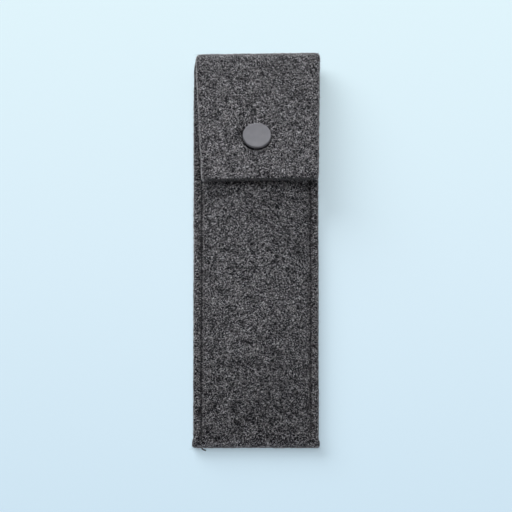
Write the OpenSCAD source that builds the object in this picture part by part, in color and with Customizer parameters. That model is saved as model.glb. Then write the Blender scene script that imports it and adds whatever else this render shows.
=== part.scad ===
// Felt sleeve for one pen, with a fold-over flap and a round snap.
// It lies on its back. X runs across, Y towards the top fold, Z out of the front.
// The origin is the middle of the back panel's underside. Millimetres.

/* [Felt strip] */
// Thickness of the felt
felt_t = 2.5; // [2:0.1:3]
// Width of the sleeve
sleeve_w = 47; // [42:0.5:54]
// Straight length of the back panel, between the two folds
back_len = 157.4; // [140:0.2:180]
// Outer radius of the bottom fold
bottom_fold_r = 3; // [2.8:0.1:3.4]
// How far the squeezed felt of the bottom fold stands out at each side
bottom_flare = 0.45; // [0:0.05:0.8]
// Rounding of the ends of the bottom fold
bottom_corner_r = 0.9; // [0.3:0.1:1.2]

/* [Pocket] */
// Distance from the top fold down to the mouth of the pocket
mouth_inset = 12; // [8:1:16]
// Distance between the panels in the middle of the open pocket
pocket_gap = 5; // [4.8:0.1:6]
// Length over which the pocket closes towards the bottom fold
pocket_taper = 34; // [20:1:45]
// Length over which the seam margins open at the bottom fold
margin_taper = 9; // [6:1:14]

/* [Top fold and flap] */
// Radius of the top fold at the middle of the felt
top_fold_r = 5.1; // [5.1:0.1:5.6]
// Sideways shift of the top fold
fold_shift = 0.85; // [0:0.05:1.5]
// Angle at which the top fold is creased
fold_skew = 1; // [0:0.1:2]
// Width of the strip at the top fold
fold_w = 47; // [42:0.1:54]
// Width of the flap at its free edge
flap_end_w = 44.2; // [38:0.2:50]
// Length of the flap
flap_len = 52.7; // [46:0.1:60]
// Slope of the flap where it leaves the top fold
flap_start_slope = 6; // [5:0.5:8]
// Slope of the flap at its free edge
flap_end_slope = 0.5; // [0:0.5:3]
// Rounding of the two free corners of the flap
flap_corner_r = 1.2; // [0.4:0.1:3]

/* [Side seams] */
// Distance from the edge to the stitches
seam_inset = 3; // [2:0.1:4]
// Length of one stitch
stitch_len = 2.5; // [2:0.1:3.5]
// Thickness of the sewing thread
thread_d = 0.5; // [0.3:0.05:0.6]
// Length of the loose thread end's straight part at the bottom left corner
tail_straight = 1.1; // [0.5:0.1:1.5]
// Bend radius of the loose thread end
tail_bend_r = 1.5; // [1:0.1:3]
// Angle through which the loose thread end bends
tail_bend_angle = 75; // [30:5:90]

/* [Snap] */
// Diameter of the two outer discs of the snap
snap_cap_d = 10.7; // [9:0.1:12]
// Height of the snap cap above the felt
snap_cap_h = 1.4; // [1:0.1:2]
// Distance from the top fold down to the snap
snap_from_fold = 34; // [28:0.5:40]
// Sideways place of the snap on the flap
snap_side = -1.1; // [-3:0.1:3]
// Diameter of the socket
socket_d = 10; // [8:0.1:11]
// Height of the socket
socket_h = 2.5; // [2.2:0.1:2.6]
// Diameter of the base of the stud
stud_base_d = 9.6; // [8:0.1:10]
// Diameter of the head of the stud
stud_head_d = 4.5; // [3.5:0.1:4.6]
// Radial play between the stud's head and the socket
snap_play = 0.45; // [0.4:0.05:0.6]
// Diameter of the rivet pins
pin_d = 1.6; // [1.2:0.1:2]

/* [Hidden] */

felt_colour = [0.32, 0.32, 0.34];
thread_colour = [0.08, 0.08, 0.1];
snap_colour = [0.52, 0.52, 0.55];
$fn = 64;
eps = 0.01;

// Places along the sleeve
half_w = sleeve_w / 2;
bottom_y = -back_len / 2;
top_y = back_len / 2;
mouth_y = top_y - mouth_inset;

// Length over which the back panel is drawn over to the skewed fold
shift_len = 2;

// Gap between the layers at the bottom fold
bottom_gap = 2 * (bottom_fold_r - felt_t);

// Seams
seam_x = half_w - seam_inset;
hole_past_fold = 1;
last_hole_inset = 1.2;
first_hole_y = bottom_y - hole_past_fold;
stitches = floor((mouth_y - last_hole_inset - first_hole_y) / stitch_len);
groove_w = 1;
groove_depth = 0.5;
back_thread_z = thread_d / 2 + 0.05;

// Top fold and flap
fold_angle = 180 - flap_start_slope;
fold_end_y = top_fold_r * sin(fold_angle);
fold_end_z = felt_t / 2 + top_fold_r * (1 - cos(fold_angle));
flap_curve = (flap_start_slope - flap_end_slope) / flap_len;
flap_steps = 12;

// Snap, seen from the fold
snap_s = snap_from_fold + fold_end_y;
snap_tilt = flap_slope(snap_s);
snap_sink = 0.3;
stud_sink = 0.55;
pin_play = 0.05;
disc_edge = 0.3;
socket_web = 0.7;
stud_base_h = 0.7;
stud_head_h = 1.3;
stud_bore_d = 2.6;
stud_neck_inset = 0.25;
stud_neck_h = 0.3;
stud_bulge_from = 0.55;
stud_bulge_to = 0.9;
stud_edge = 0.2;
rivet_h = 0.5;
rivet_d = 2 * pin_d;
stud_rivet_d = 1.5 * pin_d;
front_top_z = 2 * felt_t + pocket_gap;
stud_seat_z = front_top_z - stud_sink;
post_cap_h = 1.3;
post_cap_sink = 0.65;
post_cap_z = felt_t + pocket_gap - (post_cap_h - post_cap_sink);
socket_mouth_below = 1.5;
socket_depth = felt_t / 2 + socket_mouth_below;

function clamped(u) = min(1, max(0, u));
function smooth(u) = clamped(u) * clamped(u) * (3 - 2 * clamped(u));
function ease_out(u) = sin(90 * clamped(u));

// Gap between the panels at the seam margins and in the middle
function margin_gap(y) = bottom_gap * (1 - smooth((y - bottom_y) / margin_taper));
function middle_gap(y) = bottom_gap + (pocket_gap - bottom_gap) * ease_out((y - bottom_y) / pocket_taper);

// Underside of the front panel: two layers sewn at the margins and bowed apart between the seams
function bow(x) = max(0, 1 - pow(x / seam_x, 2));
function under_front(x, y) = felt_t + margin_gap(y) + (middle_gap(y) - margin_gap(y)) * bow(x);

// Outside of the front at a seam, also where it rounds over the bottom fold
function over_seam(y) = y < bottom_y
    ? bottom_fold_r + sqrt(pow(bottom_fold_r, 2) - pow(y - bottom_y, 2))
    : 2 * felt_t + margin_gap(y);

// Middle line of the flap, at a distance s from the end of the top fold
function flap_slope(s) = flap_start_slope - flap_curve * s;
function flap_y(s) = fold_end_y + (sin(flap_slope(s)) - sin(flap_start_slope)) / (flap_curve * PI / 180);
function flap_z(s) = fold_end_z + (cos(flap_slope(s)) - cos(flap_start_slope)) / (flap_curve * PI / 180);
function flap_side(s, lift) = [flap_y(s) + lift * sin(flap_slope(s)), flap_z(s) + lift * cos(flap_slope(s))];

// Where the strip's middle line pivots when the top fold opens: it turns half of its angle
// about each of two lines, so that it lies straight at its own length in the end
half_fold = fold_angle / 2;
pivot_start = [top_fold_r * sin(half_fold), top_fold_r * (1 - cos(half_fold))];
pivot_end = [top_fold_r * half_fold * PI / 180, 0];
lower_pivot = (pivot_start + pivot_end) / 2
    + [pivot_end.y - pivot_start.y, pivot_start.x - pivot_end.x] / (2 * tan(half_fold / 2));
fold_out = [sin(half_fold), -cos(half_fold)];
lower_arm = lower_pivot - [0, top_fold_r];
upper_pivot = [0, top_fold_r] + 2 * (lower_arm * fold_out) * fold_out - lower_arm;
echo(lower_pivot = lower_pivot, upper_pivot = upper_pivot);

// Turns a drawing in Y and Z into a solid that runs across the sleeve
module across(width) {
    rotate([90, 0, 90])
        translate([0, 0, -width / 2])
            linear_extrude(width)
                children();
}

// The skewed frame of the top fold and the flap
module at_top_fold() {
    translate([fold_shift, top_y, 0])
        rotate([0, 0, fold_skew])
            children();
}

// The frame of the snap's parts on the flap, square to the felt
module at_snap() {
    at_top_fold()
        translate([snap_side, flap_y(snap_s), flap_z(snap_s)])
            rotate([-snap_tilt, 0, 0])
                children();
}

// The frame of the snap's parts on the front panel, in line with the socket
module at_stud() {
    at_top_fold()
        translate([snap_side, flap_y(snap_s) - socket_depth * sin(snap_tilt), 0])
            children();
}

// A bent layer skinned over its cross sections, from the first to the last. Each section lists
// its lower points from left to right, then the points above them from right to left.
module skin(sections) {
    n = len(sections[0]);
    last = len(sections) - 1;
    function end_face(first) = [
        for (i = [0:n / 2 - 2])
            each [
                [first + i, first + n - 2 - i, first + i + 1],
                [first + i, first + n - 1 - i, first + n - 2 - i]
            ]
    ];
    function turned(faces) = [for (f = faces) [f.z, f.y, f.x]];
    polyhedron(
        points = [for (section = sections) each section],
        faces = concat(
            end_face(0),
            [
                for (r = [0:last - 1], i = [0:n - 1])
                    each [
                        [r * n + i, r * n + (i + 1) % n, (r + 1) * n + i],
                        [r * n + (i + 1) % n, (r + 1) * n + (i + 1) % n, (r + 1) * n + i]
                    ]
            ],
            turned(end_face(last * n))
        )
    );
}

// Flat layer that lies on the table, its top end drawn over to the skewed fold
module back_panel() {
    color(felt_colour)
        difference() {
            linear_extrude(felt_t)
                polygon([
                    [-half_w, bottom_y],
                    [half_w, bottom_y],
                    [half_w, top_y - shift_len],
                    [fold_shift + fold_w / 2 * cos(fold_skew), top_y + fold_w / 2 * sin(fold_skew)],
                    [fold_shift - fold_w / 2 * cos(fold_skew), top_y - fold_w / 2 * sin(fold_skew)],
                    [-half_w, top_y - shift_len]
                ]);
            for (side = [-1, 1])
                translate([side * seam_x - groove_w / 2, bottom_y - eps, -eps])
                    cube([groove_w, mouth_y - bottom_y + 2 * eps, groove_depth + eps]);
        }
}

// Cross section of the bottom fold, with rounded outer corners
module bottom_fold_section(fold_half) {
    corner_x = bottom_fold_r - bottom_corner_r;
    corner_y = fold_half - bottom_corner_r;
    difference() {
        translate([bottom_fold_r - felt_t, -fold_half])
            square([felt_t, 2 * fold_half]);
        for (side = [-1, 1])
            translate([corner_x, side * corner_y])
                difference() {
                    translate([0, side > 0 ? 0 : -bottom_corner_r - eps])
                        square(bottom_corner_r + eps);
                    circle(bottom_corner_r);
                }
    }
}

// Half ring of felt between the two panels, a little wider than they are
module bottom_fold() {
    color(felt_colour)
        difference() {
            translate([0, bottom_y, bottom_fold_r])
                rotate([90, 0, -90])
                    rotate([0, 0, -90])
                        rotate_extrude(angle = 180)
                            bottom_fold_section(half_w + bottom_flare);
            for (side = [-1, 1])
                translate([side * seam_x - groove_w / 2, first_hole_y - groove_w / 2, -eps])
                    cube([groove_w, groove_w / 2 + hole_past_fold + eps, groove_depth + eps]);
        }
}

// Upper layer of the pocket, bowed up between the seams, with seats for the snap. Its lower
// stretch closes towards the bottom fold, and the rest has one section all along.
module front_panel() {
    bow_xs = [for (u = [-1:0.125:1]) u * seam_x];
    xs = concat([-half_w], bow_xs, [half_w]);
    full_y = bottom_y + pocket_taper;
    taper_steps = 9;
    taper_ys = [for (i = [0:taper_steps]) bottom_y + pocket_taper * pow(i / taper_steps, 1.5)];
    color(felt_colour) {
        skin([
            for (y = taper_ys) concat(
                [for (x = xs) [x, y, under_front(x, y)]],
                [for (i = [len(xs) - 1:-1:0]) [xs[i], y, under_front(xs[i], y) + felt_t]]
            )
        ]);
        difference() {
            translate([0, mouth_y, 0])
                rotate([90, 0, 0])
                    linear_extrude(mouth_y - full_y)
                        polygon(concat(
                            [for (x = xs) [x, under_front(x, full_y)]],
                            [for (i = [len(xs) - 1:-1:0]) [xs[i], under_front(xs[i], full_y) + felt_t]]
                        ));
            at_stud() {
                cylinder(h = front_top_z + eps, d = pin_d + 2 * pin_play);
                translate([0, 0, stud_seat_z])
                    cylinder(h = stud_sink + eps, d = stud_base_d + 2 * pin_play);
                cylinder(h = post_cap_z + post_cap_h, d = snap_cap_d + 2 * pin_play);
            }
        }
    }
}

// One thread of a seam: a stitch between each two needle holes, and a leg down each hole
// towards the other thread. Side is -1 for the left, 1 for the right.
module seam_thread(side, front) {
    hole_ys = [for (i = [0:stitches]) first_hole_y + i * stitch_len];
    stitch_zs = [
        for (i = [0:stitches - 1])
            front ? (over_seam(hole_ys[i]) + over_seam(hole_ys[i + 1])) / 2 : back_thread_z
    ];
    color(thread_colour)
        translate([side * seam_x, 0, 0]) {
            for (i = [0:stitches]) {
                beside = [stitch_zs[max(0, i - 1)], stitch_zs[min(stitches - 1, i)]];
                outer_z = front ? max(beside) : min(beside);
                middle_z = over_seam(hole_ys[i]) / 2;
                translate([0, hole_ys[i], min(outer_z, middle_z)])
                    cylinder(h = abs(outer_z - middle_z), d = thread_d);
            }
            for (i = [0:stitches - 1])
                translate([0, hole_ys[i], stitch_zs[i]])
                    rotate([-90, 0, 0])
                        cylinder(h = stitch_len, d = thread_d);
        }
}

// Loose end of the left bobbin thread: out past the bottom edge, then round to the right
module thread_tail() {
    color(thread_colour)
        translate([-seam_x, first_hole_y, back_thread_z]) {
            rotate([90, 0, 0])
                cylinder(h = tail_straight, d = thread_d);
            translate([tail_bend_r, -tail_straight, 0])
                rotate([0, 0, 180])
                    rotate_extrude(angle = tail_bend_angle)
                        translate([tail_bend_r, 0])
                            circle(d = thread_d);
        }
}

module left_seam_front_thread() { seam_thread(-1, true); }
module right_seam_front_thread() { seam_thread(1, true); }
module right_seam_back_thread() { seam_thread(1, false); }
module left_seam_back_thread() {
    seam_thread(-1, false);
    thread_tail();
}

// Curved stretch of the strip between the back panel and the flap
module top_fold() {
    color(felt_colour)
        at_top_fold()
            translate([0, 0, felt_t / 2 + top_fold_r])
                rotate([90, 0, 90])
                    rotate([0, 0, -90])
                        rotate_extrude(angle = fold_angle)
                            translate([top_fold_r - felt_t / 2, -fold_w / 2])
                                square([felt_t, fold_w]);
}

// Outline of the flap seen from above: it narrows towards a free edge with rounded corners
module flap_outline() {
    fold_half = fold_w / 2;
    end_half = flap_end_w / 2;
    corner = [end_half - flap_corner_r, flap_y(flap_len) + flap_corner_r];
    right_corner = [for (a = [0:-15:-90]) corner + flap_corner_r * [cos(a), sin(a)]];
    left_corner = [for (i = [len(right_corner) - 1:-1:0]) [-right_corner[i].x, right_corner[i].y]];
    polygon(concat(
        [[-fold_half, fold_end_y + felt_t], [fold_half, fold_end_y + felt_t]],
        right_corner,
        left_corner
    ));
}

// Free end of the strip, rising a little from the fold to lie over the snap
module flap_panel() {
    ss = [for (i = [0:flap_steps]) flap_len * i / flap_steps];
    side_view = concat(
        [for (s = ss) flap_side(s, felt_t / 2)],
        [for (i = [flap_steps:-1:0]) flap_side(ss[i], -felt_t / 2)]
    );
    color(felt_colour)
        difference() {
            at_top_fold()
                intersection() {
                    across(2 * fold_w) polygon(side_view);
                    linear_extrude(4 * top_fold_r) flap_outline();
                }
            at_snap() {
                translate([0, 0, -felt_t])
                    cylinder(h = 2 * felt_t, d = pin_d + 2 * pin_play);
                translate([0, 0, felt_t / 2 - snap_sink])
                    cylinder(h = felt_t, d = snap_cap_d + 2 * pin_play);
                translate([0, 0, -felt_t - felt_t / 2 + snap_sink])
                    cylinder(h = felt_t, d = socket_d + 2 * pin_play);
            }
        }
}

// Disc of a snap with a softened rim, standing on z = 0
module snap_disc(d, h) {
    rotate_extrude()
        polygon([
            [0, 0],
            [d / 2 - disc_edge / 2, 0],
            [d / 2, disc_edge / 2],
            [d / 2, h - disc_edge],
            [d / 2 - disc_edge, h],
            [0, h]
        ]);
}

// Outer cap, with the pin that is flattened inside the socket
module snap_cap() {
    cap_h = snap_cap_h + snap_sink;
    pin_len = felt_t - 2 * snap_sink + socket_web;
    color(snap_colour)
        at_snap()
            translate([0, 0, felt_t / 2 - snap_sink]) {
                snap_disc(snap_cap_d, cap_h);
                translate([0, 0, -pin_len - rivet_h])
                    cylinder(h = pin_len + rivet_h + eps, d = pin_d);
                translate([0, 0, -pin_len - rivet_h])
                    cylinder(h = rivet_h, d = rivet_d);
            }
}

// Ring under the flap that takes the stud's head
module snap_socket() {
    color(snap_colour)
        at_snap()
            translate([0, 0, -felt_t / 2 + snap_sink - socket_h])
                difference() {
                    cylinder(h = socket_h, d = socket_d);
                    translate([0, 0, -eps])
                        cylinder(h = socket_h - socket_web + eps, d = stud_head_d + 2 * snap_play);
                    translate([0, 0, -eps])
                        cylinder(h = socket_h + 2 * eps, d = pin_d + 2 * pin_play);
                }
}

// Base and hollow head that stand out of the front panel
module snap_stud() {
    head_r = stud_head_d / 2;
    neck_r = head_r - stud_neck_inset;
    top = stud_base_h + stud_head_h;
    color(snap_colour)
        at_stud()
            translate([0, 0, stud_seat_z])
                rotate_extrude()
                    polygon([
                        [pin_d / 2 + pin_play, 0],
                        [stud_base_d / 2, 0],
                        [stud_base_d / 2, stud_base_h - stud_edge],
                        [stud_base_d / 2 - disc_edge, stud_base_h],
                        [neck_r, stud_base_h],
                        [neck_r, stud_base_h + stud_neck_h],
                        [head_r, stud_base_h + stud_bulge_from],
                        [head_r, stud_base_h + stud_bulge_to],
                        [neck_r, top],
                        [stud_bore_d / 2, top],
                        [stud_bore_d / 2, stud_base_h],
                        [pin_d / 2 + pin_play, stud_base_h]
                    ]);
}

// Cap inside the pocket, with the pin that is flattened inside the stud
module stud_post_cap() {
    pin_len = stud_seat_z + stud_base_h - post_cap_z;
    color(snap_colour)
        at_stud()
            translate([0, 0, post_cap_z]) {
                translate([0, 0, post_cap_h])
                    mirror([0, 0, 1])
                        snap_disc(snap_cap_d, post_cap_h);
                cylinder(h = pin_len + rivet_h, d = pin_d);
                translate([0, 0, pin_len])
                    cylinder(h = rivet_h, d = stud_rivet_d);
            }
}

back_panel();
bottom_fold();
front_panel();
left_seam_front_thread();
left_seam_back_thread();
right_seam_front_thread();
right_seam_back_thread();
snap_stud();
stud_post_cap();
top_fold();
flap_panel();
snap_cap();
snap_socket();
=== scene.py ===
"""Looks of the felt pen sleeve: felt strip, sewing threads, snap, loose fibres, floor, lights, camera."""

import math

import bmesh
import bpy
import numpy as np
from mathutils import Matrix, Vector

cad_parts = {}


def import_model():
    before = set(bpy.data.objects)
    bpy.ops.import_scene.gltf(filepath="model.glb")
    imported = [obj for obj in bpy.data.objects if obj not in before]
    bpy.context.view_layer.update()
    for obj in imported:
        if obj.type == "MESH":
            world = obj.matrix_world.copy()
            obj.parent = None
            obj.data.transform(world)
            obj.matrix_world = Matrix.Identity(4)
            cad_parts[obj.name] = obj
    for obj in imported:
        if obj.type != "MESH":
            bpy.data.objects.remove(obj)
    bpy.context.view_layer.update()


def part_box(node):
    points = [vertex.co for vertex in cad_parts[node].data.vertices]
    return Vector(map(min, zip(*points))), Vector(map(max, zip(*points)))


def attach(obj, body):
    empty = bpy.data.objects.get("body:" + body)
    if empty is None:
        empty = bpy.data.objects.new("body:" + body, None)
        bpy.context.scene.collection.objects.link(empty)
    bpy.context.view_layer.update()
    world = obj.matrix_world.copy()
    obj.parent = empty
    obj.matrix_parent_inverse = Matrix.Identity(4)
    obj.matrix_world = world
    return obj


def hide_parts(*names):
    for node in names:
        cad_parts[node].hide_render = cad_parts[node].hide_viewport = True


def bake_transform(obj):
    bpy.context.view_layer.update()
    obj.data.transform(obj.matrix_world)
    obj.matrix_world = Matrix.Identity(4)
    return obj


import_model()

# Lengths are in millimetres down to the floor and lights, and meshes are made in metres.
MM = 0.001


def node_box(node):
    lo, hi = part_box(node)
    return np.array(lo) / MM, np.array(hi) / MM


front_lo, front_hi = node_box("front_panel")
back_lo, back_hi = node_box("back_panel")
bottom_hi = node_box("bottom_fold")[1]
fold_hi = node_box("top_fold")[1]
stud_lo, stud_hi = node_box("snap_stud")
left_lo, left_hi = node_box("left_seam_front_thread")

# The felt strip, as the CAD parts give it
FELT_T = back_hi[2] - back_lo[2]
HALF_W = front_hi[0]
MOUTH_Y = front_hi[1]
BOTTOM_Y = front_lo[1]
TOP_Y = -BOTTOM_Y
FRONT_TOP_Z = front_hi[2]
BOTTOM_R = bottom_hi[2] / 2
BOTTOM_FLARE = bottom_hi[0] - HALF_W
BOTTOM_GAP = 2 * (BOTTOM_R - FELT_T)
POCKET_GAP = FRONT_TOP_Z - 2 * FELT_T
FOLD_OUT = fold_hi[2] / 2
FOLD_R = FOLD_OUT - FELT_T / 2
SEAM_X = abs(left_lo[0] + left_hi[0]) / 2
FIRST_HOLE_Y = left_lo[1] + (left_hi[0] - left_lo[0]) / 2
LAST_HOLE_Y = left_hi[1] - (left_hi[0] - left_lo[0]) / 2

# The same driving sizes as the CAD source, where no box gives them
POCKET_TAPER = 34.0
MARGIN_TAPER = 9.0
FOLD_SHIFT = 0.85
FOLD_SKEW = math.radians(1.0)
FOLD_HALF_W = 23.5
FLAP_END_HALF_W = 22.1
FLAP_LEN = 52.7
FLAP_START_SLOPE = 6.0
FLAP_END_SLOPE = 0.5
FLAP_CORNER_R = 1.2
FOLD_ANGLE = 180.0 - FLAP_START_SLOPE
SNAP_FROM_FOLD = 34.0
SNAP_SIDE = -1.1
STITCH = 2.5
CAP_D = 10.7
CAP_H = 1.4

# Lengths past the back panel between which the strip goes over from the panel's lines to the flap's
TWIST_FROM = 2.5
TWIST_TO = 11.0


def smooth(u):
    u = np.clip(u, 0.0, 1.0)
    return u * u * (3 - 2 * u)


def lattice(i, j, k, seed):
    """A repeatable number from -1 to 1 for each whole-number place."""
    h = (i * 374761393 + j * 668265263 + k * 2147483647 + seed * 1274126177) & 0xFFFFFFFF
    h = ((h ^ (h >> 13)) * 1274126177) & 0xFFFFFFFF
    h = ((h ^ (h >> 16)) * 2246822519) & 0xFFFFFFFF
    return ((h ^ (h >> 15)) & 0xFFFFFF) / float(0x7FFFFF) - 1.0


def value_noise(p, size, seed):
    """Smooth noise from -1 to 1 at each place, whose lumps are about one size across."""
    q = np.asarray(p, float) / size
    base = np.floor(q).astype(np.int64)
    f = q - base
    f = f * f * (3 - 2 * f)
    total = np.zeros(len(q))
    for di in (0, 1):
        for dj in (0, 1):
            for dk in (0, 1):
                weight = (
                    (f[:, 0] if di else 1 - f[:, 0])
                    * (f[:, 1] if dj else 1 - f[:, 1])
                    * (f[:, 2] if dk else 1 - f[:, 2])
                )
                total += weight * lattice(base[:, 0] + di, base[:, 1] + dj, base[:, 2] + dk, seed)
    return total


def layered_noise(p, size, seed, octaves):
    """Noise with finer and weaker noise on top."""
    total, gain = 0.0, 1.0
    for n in range(octaves):
        total = total + gain * value_noise(p, size / 2**n, seed + 17 * n)
        gain *= 0.5
    return total


# Middle line of the top fold and the flap, in the skewed frame of the fold
CURVE = (FLAP_START_SLOPE - FLAP_END_SLOPE) / FLAP_LEN
FOLD_CENTRE_Z = FELT_T / 2 + FOLD_R


def from_fold_frame(x, y, z):
    """Places from the fold's skewed frame, whose origin is under the start of the fold."""
    c, s = math.cos(FOLD_SKEW), math.sin(FOLD_SKEW)
    return np.stack([FOLD_SHIFT + x * c - y * s, TOP_Y + x * s + y * c, z + 0 * x], axis=-1)


def skewed_way(back, up):
    """A direction in the upright plane of the skewed fold: so far towards -Y and so far up."""
    return [math.sin(FOLD_SKEW) * back, -math.cos(FOLD_SKEW) * back, up]


def flap_line(s):
    """Place and slope of the flap's middle line, a distance s from the end of the fold."""
    start = math.radians(FLAP_START_SLOPE)
    turn = math.radians(CURVE)
    slope = start - turn * s
    fold_end = math.radians(FOLD_ANGLE)
    y = FOLD_R * math.sin(fold_end) + (math.sin(slope) - math.sin(start)) / turn
    z = FELT_T / 2 + FOLD_R * (1 - math.cos(fold_end)) + (math.cos(slope) - math.cos(start)) / turn
    return y, z, slope


# Each station of the strip gives its outer face and the way inwards, for places x across it
def front_station(y):
    def place(x):
        taper = np.clip((y - BOTTOM_Y) / POCKET_TAPER, 0, 1)
        middle = BOTTOM_GAP + (POCKET_GAP - BOTTOM_GAP) * math.sin(math.pi / 2 * taper)
        margin = BOTTOM_GAP * (1 - float(smooth((y - BOTTOM_Y) / MARGIN_TAPER)))
        bow = np.maximum(0, 1 - (x / SEAM_X) ** 2)
        z = 2 * FELT_T + margin + (middle - margin) * bow
        outer = np.stack([x, np.full_like(x, y), z], axis=-1)
        return outer, np.tile([0.0, 0.0, -1.0], (len(x), 1))

    return place


def bottom_station(angle):
    def place(x):
        y = BOTTOM_Y - BOTTOM_R * math.cos(angle)
        z = BOTTOM_R + BOTTOM_R * math.sin(angle)
        wide = 1 + BOTTOM_FLARE * math.cos(angle) / HALF_W
        outer = np.stack([x * wide, np.full_like(x, y), np.full_like(x, z)], axis=-1)
        return outer, np.tile([0.0, math.cos(angle), -math.sin(angle)], (len(x), 1))

    return place


def twist_share(length_past_back):
    """How far the strip has gone over from the back panel's lines to the flap's."""
    return float(smooth((length_past_back - TWIST_FROM) / (TWIST_TO - TWIST_FROM)))


def back_station(y):
    def place(x):
        w = twist_share(y - TOP_Y)
        straight = np.stack([x, np.full_like(x, y), 0 * x], axis=-1)
        skewed = from_fold_frame(x * FOLD_HALF_W / HALF_W, np.full_like(x, y - TOP_Y), 0 * x)
        return straight * (1 - w) + skewed * w, np.tile([0.0, 0.0, 1.0], (len(x), 1))

    return place


def fold_station(angle):
    def place(x):
        turned = x * FOLD_HALF_W / HALF_W
        w = twist_share(FOLD_OUT * angle)
        y = np.full_like(x, FOLD_OUT * math.sin(angle))
        z = np.full_like(x, FOLD_CENTRE_Z - FOLD_OUT * math.cos(angle))
        straight = np.stack([x, TOP_Y + y, z], axis=-1)
        outer = straight * (1 - w) + from_fold_frame(turned, y, z) * w
        inward = skewed_way(math.sin(angle), math.cos(angle))
        return outer, np.tile(inward, (len(x), 1))

    return place


def flap_station(s):
    def place(x):
        y, z, slope = flap_line(s)
        half = FOLD_HALF_W + (FLAP_END_HALF_W - FOLD_HALF_W) * s / FLAP_LEN
        left = max(0.0, FLAP_LEN - s)
        if left < FLAP_CORNER_R:
            half -= FLAP_CORNER_R - math.sqrt(FLAP_CORNER_R**2 - (FLAP_CORNER_R - left) ** 2)
        up = FELT_T / 2
        outer = from_fold_frame(
            x * half / HALF_W,
            np.full_like(x, y + up * math.sin(slope)),
            np.full_like(x, z + up * math.cos(slope)),
        )
        inward = skewed_way(math.sin(slope), -math.cos(slope))
        return outer, np.tile(inward, (len(x), 1))

    return place


# The cut edges are slightly rounded, in a few steps, and have some rows of points between
EDGE_R = 0.3
EDGE_STEPS = 3
WALL_ROWS = 6
END_STEPS = 3
AT_EDGE = 0.1

# The fuzz fills the last of the width, and the flap lies a little to the left
FUZZ = 0.15
FLAP_FUZZ = 0.11
FLAP_LEFT = 0.21
FLAP_FADE = 8.0

# The outside of the top fold is stretched, and so narrower
FOLD_NIP = 0.5
FOLD_NIP_AT = math.radians(120)
FOLD_NIP_WIDE = 0.42

# The stitches draw the felt in, most at the needle holes
NEAR_SEAM = 1.3
GROOVE_DEPTH, GROOVE_DEPTH_AT_HOLES = 0.46, 0.24
GROOVE_WIDE, GROOVE_WIDE_AT_HOLES = 0.46, 0.10
SINK_DEPTH, SINK_WIDE = 0.16, 1.5
GROOVE_BEFORE, GROOVE_AFTER, GROOVE_FADE = 1.2, 1.0, 0.8

# Height, size and seed of the felt's uneven places
LUMP_H, LUMP_SIZE, LUMP_SEED = 0.10, 9.0, 3
GRAIN_H, GRAIN_SIZE, GRAIN_SEED = 0.055, 1.7, 11
ROUGH_EDGE_H, ROUGH_EDGE_SIZE, ROUGH_EDGE_SEED = 0.09, 1.3, 29

# The outer face falls off towards the cut edges, and the underside stays above the ground
DROOP, DROOP_WIDE, DROOP_DEEP = 0.22, 0.9, 0.5
LOWEST_FELT = 0.03

# Painted highlight along the cut edges, and painted shade on the flap's end face
EDGE_HIGHLIGHT_WIDE = 0.32
FLAP_END_SHADE = 2.2


def across_places(step, seam_step):
    """Places across the strip, closer together beside the seams."""
    xs, x = [0.0], 0.0
    limit = HALF_W - EDGE_R
    while x < limit:
        near_seam = abs(x - SEAM_X) < NEAR_SEAM
        x += seam_step if near_seam else step
        xs.append(min(x, limit))
    if xs[-1] - xs[-2] < seam_step / 2:
        xs.pop(-2)
    return [-v for v in reversed(xs[1:])] + xs


def section(step, seam_step, inner_step):
    """The strip's closed cross section: places across, depth below the outer face, as two arrays."""
    outer = across_places(step, seam_step)
    inner = across_places(inner_step, inner_step)
    quarter = [math.radians(90 * i / EDGE_STEPS) for i in range(1, EDGE_STEPS + 1)]
    wall = [(HALF_W - EDGE_R + EDGE_R * math.sin(a), EDGE_R * (1 - math.cos(a))) for a in quarter]
    depths = np.linspace(EDGE_R, FELT_T - EDGE_R, WALL_ROWS)[1:-1]
    wall += [(HALF_W, d) for d in depths]
    wall += [(w, FELT_T - d) for w, d in reversed(wall[:EDGE_STEPS])]
    ring = [(x, 0.0) for x in outer]
    ring += wall[:-1]
    ring += [(x, FELT_T) for x in reversed(inner)]
    ring += [(-x, d) for x, d in reversed(wall[:-1])]
    kept = ring[:1]
    for before, now in zip(ring, ring[1:]):
        if abs(now[0] - before[0]) + abs(now[1] - before[1]) > 1e-6:
            kept.append(now)
    return np.array([r[0] for r in kept]), np.array([r[1] for r in kept])


def rounded_end():
    """(distance from a cut end, how much the felt is pinched there), for the rows that round it."""
    return [
        (EDGE_R * (1 - math.sin(math.radians(a))), EDGE_R * (1 - math.cos(math.radians(a))))
        for a in np.linspace(90, 0, END_STEPS + 1)
    ]


def seam_groove(x, y, where):
    """How deep the stitches draw the felt in."""
    off = np.abs(np.abs(x) - SEAM_X)
    begun = smooth((y - (FIRST_HOLE_Y - GROOVE_BEFORE)) / GROOVE_FADE)
    inside = begun * smooth((LAST_HOLE_Y + GROOVE_AFTER - y) / GROOVE_FADE)
    holes = 0.5 + 0.5 * np.cos(2 * math.pi * (y - FIRST_HOLE_Y) / STITCH)
    depth = GROOVE_DEPTH + GROOVE_DEPTH_AT_HOLES * holes
    width = GROOVE_WIDE + GROOVE_WIDE_AT_HOLES * holes
    sink = SINK_DEPTH * np.exp(-((off / SINK_WIDE) ** 2))
    return where * inside * (depth * np.exp(-((off / width) ** 2)) + sink)


def grid_normals(points):
    """Outward directions of a grid of points, whose rows run along and whose rings are closed."""
    along = np.roll(points, -1, axis=0) - np.roll(points, 1, axis=0)
    along[0] = points[1] - points[0]
    along[-1] = points[-1] - points[-2]
    around = np.roll(points, -1, axis=1) - np.roll(points, 1, axis=1)
    n = np.cross(along, around)
    return n / np.maximum(np.linalg.norm(n, axis=2, keepdims=True), 1e-9)


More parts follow.
